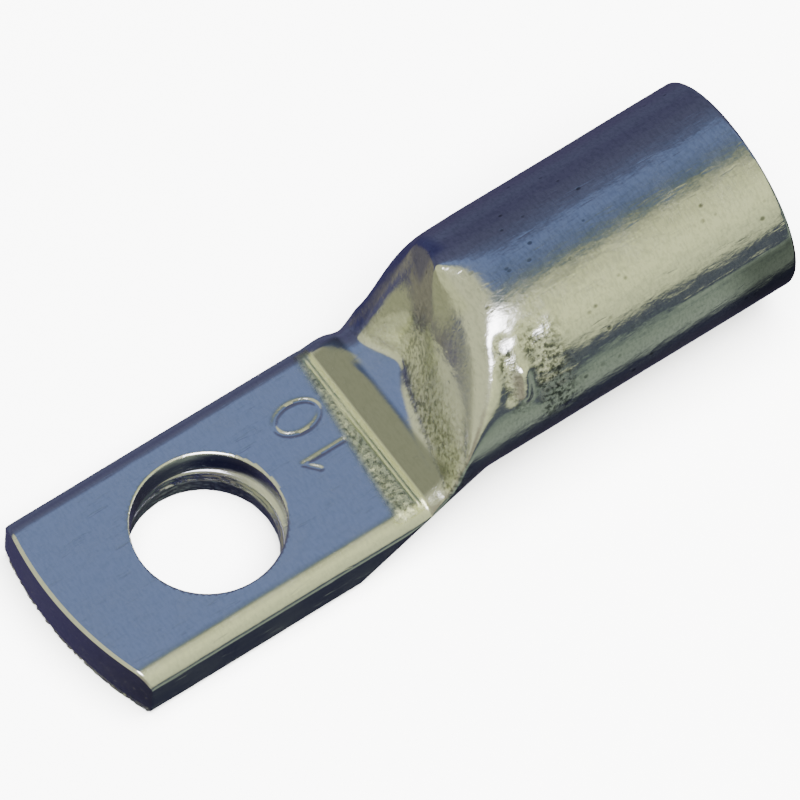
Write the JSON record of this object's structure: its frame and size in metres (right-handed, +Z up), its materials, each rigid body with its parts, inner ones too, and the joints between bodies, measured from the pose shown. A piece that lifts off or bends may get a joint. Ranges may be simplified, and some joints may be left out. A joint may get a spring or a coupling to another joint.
{
  "type": "tubular cable lug",
  "caption": "Crimp terminal made from one length of tube: a round barrel for the conductor and a flat pressed palm with a stud hole.",
  "frame": {"origin": "axis of the stud hole at the palm's seating face", "axes": "+X along the barrel towards its mouth, +Z up out of the palm on the ramp's side"},
  "size_m": [0.0542, 0.0156, 0.0156],
  "materials": {
    "cable_lug": "electro-tinned copper, semi-bright"
  },
  "bodies": {
    "root": {"cable_lug": "cable_lug"}
  },
  "joints": []
}
